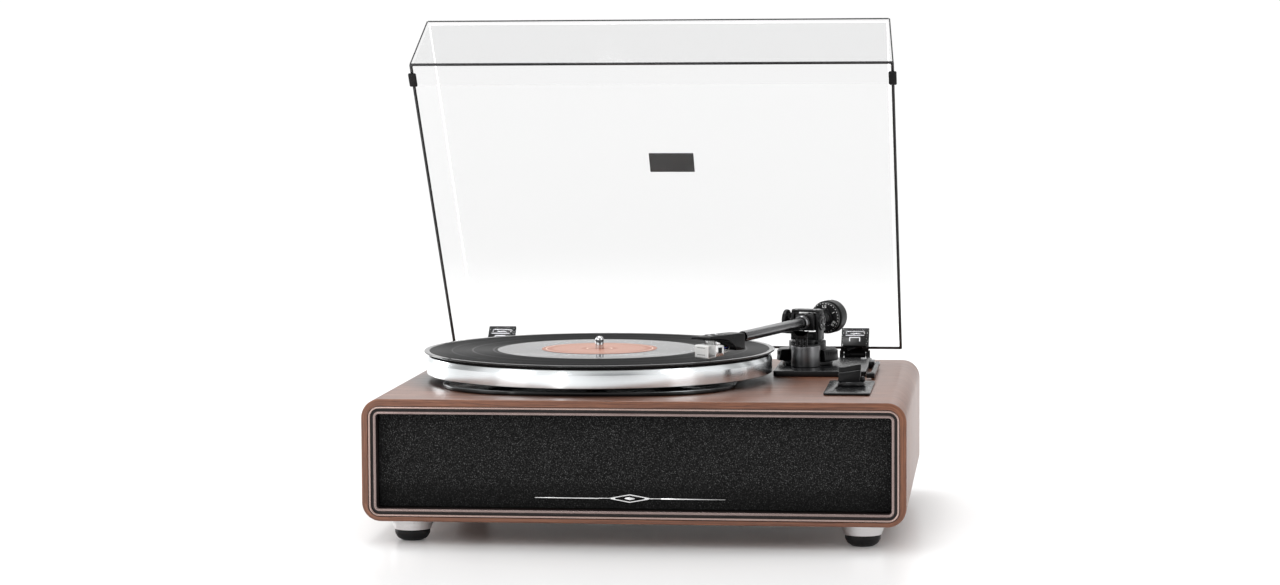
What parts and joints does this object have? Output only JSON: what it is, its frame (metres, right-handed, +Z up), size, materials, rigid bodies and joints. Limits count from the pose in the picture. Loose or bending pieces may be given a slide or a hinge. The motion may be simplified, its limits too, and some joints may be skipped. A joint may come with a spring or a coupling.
{
  "type": "turntable record player",
  "caption": "Belt-drive record player in a wooden cabinet with built-in speakers, pivoted tonearm with counterweight, speed selector, and a hinged clear lid stored open.",
  "frame": {"origin": "centre of the whole object over the plane its feet stand on, with the lid open as stored", "axes": "+X to the right along the cabinet as a listener faces it, +Y to the back, +Z up; the speaker front faces -Y"},
  "size_m": [0.442, 0.3954, 0.4268],
  "materials": {
    "walnut_wood": "satin",
    "bezel_bronze": "gloss",
    "grille_cloth": "matte",
    "emblem_metal": "satin",
    "baffle_board": "matte",
    "woofer": "matte",
    "black_plastic": "satin",
    "socket_brass": "satin",
    "circuit_board": "satin",
    "foot_chrome": "polished",
    "foot_rubber": "matte",
    "platter_plate_gloss": "gloss",
    "bearing_brass": "satin",
    "spindle_chrome": "polished",
    "platter_aluminium": "polished",
    "slipmat_felt": "matte",
    "record_vinyl": "gloss",
    "motor_steel": "satin",
    "pulley_brass": "satin",
    "belt_rubber": "matte",
    "arm_base_black": "satin",
    "arm_black": "gloss",
    "weight_steel": "satin",
    "cartridge_silver": "satin",
    "shaft_aluminium": "satin",
    "stylus_steel": "satin",
    "lid_clear": "gloss",
    "badge_grey": "satin",
    "hinge_black": "satin"
  },
  "bodies": {
    "root": {"cabinet_shell": "walnut_wood", "front_bezel": "bezel_bronze", "grille_cloth": "grille_cloth", "emblem_bar": "emblem_metal", "speaker_baffle": "baffle_board", "woofer_left": "woofer", "woofer_right": "woofer", "rear_panel": "black_plastic", "line_out_sockets": "socket_brass", "dc_inlet": "black_plastic", "switch_housing": "black_plastic", "amplifier_board": "circuit_board", "foot_ring_front_left": "foot_chrome", "foot_ring_front_right": "foot_chrome", "foot_ring_rear_left": "foot_chrome", "foot_ring_rear_right": "foot_chrome", "foot_pad_front_left": "foot_rubber", "foot_pad_front_right": "foot_rubber", "foot_pad_rear_left": "foot_rubber", "foot_pad_rear_right": "foot_rubber", "platter_base_plate": "platter_plate_gloss", "bearing_housing": "bearing_brass", "motor": "motor_steel", "drive_belt": "belt_rubber", "tonearm_base_plate": "arm_base_black", "arm_tower": "arm_base_black", "armrest": "black_plastic", "selector_plate": "arm_base_black", "speed_switch": "black_plastic", "hinge_bracket_left": "hinge_black", "hinge_bracket_right": "hinge_black"},
    "platter": {"platter": "platter_aluminium", "slipmat": "slipmat_felt", "record": "record_vinyl", "spindle": "spindle_chrome"},
    "motor_pulley": {"motor_pulley": "pulley_brass"},
    "arm_swivel": {"arm_yoke": "arm_base_black", "yoke_cap": "arm_base_black"},
    "tonearm": {"gimbal_block": "arm_black", "arm_tube": "arm_black", "tube_collar": "arm_black", "headshell": "black_plastic", "cartridge_body": "cartridge_silver", "stylus_holder": "cartridge_silver", "stylus": "stylus_steel", "weight_shaft": "shaft_aluminium"},
    "weight_bush": {"weight_bush": "black_plastic"},
    "counterweight": {"counterweight": "weight_steel"},
    "force_dial": {"force_dial": "black_plastic"},
    "lift_bar": {"lift_bar": "arm_base_black"},
    "cue_lever": {"cue_lever": "arm_base_black"},
    "speed_knob": {"speed_knob": "black_plastic"},
    "anti_skate_dial": {"anti_skate_dial": "black_plastic"},
    "power_rocker": {"power_rocker": "black_plastic"},
    "lid": {"lid_shell": "lid_clear", "lid_badge": "badge_grey", "lid_bumper_left": "foot_rubber", "lid_bumper_right": "foot_rubber", "hinge_leaf_left": "hinge_black", "hinge_leaf_right": "hinge_black"}
  },
  "joints": [
    {"name": "platter_spin", "type": "hinge", "parent": "root", "child": "platter", "pos_m": [-0.0484, -0.01867, 0.14], "axis": [0, 0, -1], "continuous": true},
    {"name": "pulley_spin", "type": "hinge", "parent": "root", "child": "motor_pulley", "pos_m": [-0.1264, 0.05933, 0.129], "axis": [0, 0, -1], "continuous": true},
    {"name": "arm_swing", "type": "hinge", "parent": "root", "child": "arm_swivel", "pos_m": [0.1256, 0.05933, 0.141], "axis": [0, 0, -1], "range_deg": [-11, 27]},
    {"name": "arm_tilt", "type": "hinge", "parent": "arm_swivel", "child": "tonearm", "pos_m": [0.1256, 0.05933, 0.1615], "axis": [-0.9563, 0.2924, 0], "range_deg": [0, 2.78]},
    {"name": "weight_travel", "type": "slide", "parent": "tonearm", "child": "weight_bush", "axis": [0.2924, 0.9563, 0], "range_m": [-0.003, 0.003]},
    {"name": "counterweight_turn", "type": "hinge", "parent": "weight_bush", "child": "counterweight", "pos_m": [0.14139, 0.11097, 0.1615], "axis": [0.2924, 0.9563, 0], "range_deg": [-540, 540]},
    {"name": "force_dial_turn", "type": "hinge", "parent": "weight_bush", "child": "force_dial", "pos_m": [0.13876, 0.10237, 0.1615], "axis": [0.2924, 0.9563, 0], "range_deg": [-180, 180]},
    {"name": "lift_travel", "type": "slide", "parent": "root", "child": "lift_bar", "axis": [0, 0, 1], "range_m": [0, 0.0016]},
    {"name": "cue_lever_turn", "type": "hinge", "parent": "root", "child": "cue_lever", "pos_m": [0.186, 0.07833, 0.1226], "axis": [-1, 0, 0], "range_deg": [0, 15]},
    {"name": "speed_select", "type": "hinge", "parent": "root", "child": "speed_knob", "pos_m": [0.1715, -0.08867, 0.122], "axis": [0, 0, 1], "range_deg": [-30, 30]},
    {"name": "anti_skate_turn", "type": "hinge", "parent": "root", "child": "anti_skate_dial", "pos_m": [0.1256, 0.05933, 0.133], "axis": [0, 0, 1], "range_deg": [0, 20]},
    {"name": "power_switch", "type": "hinge", "parent": "root", "child": "power_rocker", "pos_m": [0.164, 0.14613, 0.068], "axis": [-1, 0, 0], "range_deg": [0, 14]},
    {"name": "lid_hinge", "type": "hinge", "parent": "root", "child": "lid", "pos_m": [0, 0.15433, 0.1234], "axis": [-1, 0, 0], "range_deg": [-52, 0]}
  ],
  "couplings": [
    {"joint": "pulley_spin", "follows": "platter_spin", "ratio": 12},
    {"joint": "weight_travel", "follows": "counterweight_turn", "m_per_rad": 0.00031831},
    {"joint": "lift_travel", "follows": "arm_tilt", "m_per_rad": 0.0309},
    {"joint": "cue_lever_turn", "follows": "arm_tilt", "ratio": 5.3597}
  ]
}
